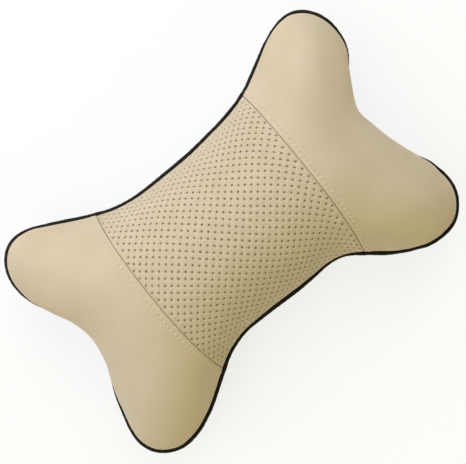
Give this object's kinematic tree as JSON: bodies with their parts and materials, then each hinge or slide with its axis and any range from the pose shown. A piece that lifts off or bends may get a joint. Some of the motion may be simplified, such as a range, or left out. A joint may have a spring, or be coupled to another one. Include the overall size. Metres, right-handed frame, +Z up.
{
  "type": "car neck pillow",
  "caption": "Bone-shaped car neck pillow with a perforated leather centre between plain leather ends, dark piping all round, a fabric back and an elastic headrest strap.",
  "frame": {"origin": "on the surface that the pillow lies on, under the middle of its outline", "axes": "+X along the pillow's length, +Y towards the upper edge of its face, +Z up out of the face"},
  "size_m": [0.2694, 0.1773, 0.0861],
  "materials": {
    "beige_leather": "smooth, matte",
    "perforated_beige_leather": "smooth, matte, with punched holes",
    "black_piping": "smooth, slightly shiny",
    "black_fabric": "matte knit",
    "black_elastic": "ribbed elastic weave",
    "beige_thread": "twisted sewing thread",
    "white_fibre": "loose fibre"
  },
  "bodies": {
    "root": {"front_end_panel_left": "beige_leather", "front_end_panel_right": "beige_leather", "front_centre_panel": "perforated_beige_leather", "piping_cord": "black_piping", "back_panel": "black_fabric", "headrest_strap": "black_elastic", "topstitch_left": "beige_thread", "topstitch_right": "beige_thread", "filling": "white_fibre"}
  },
  "joints": []
}
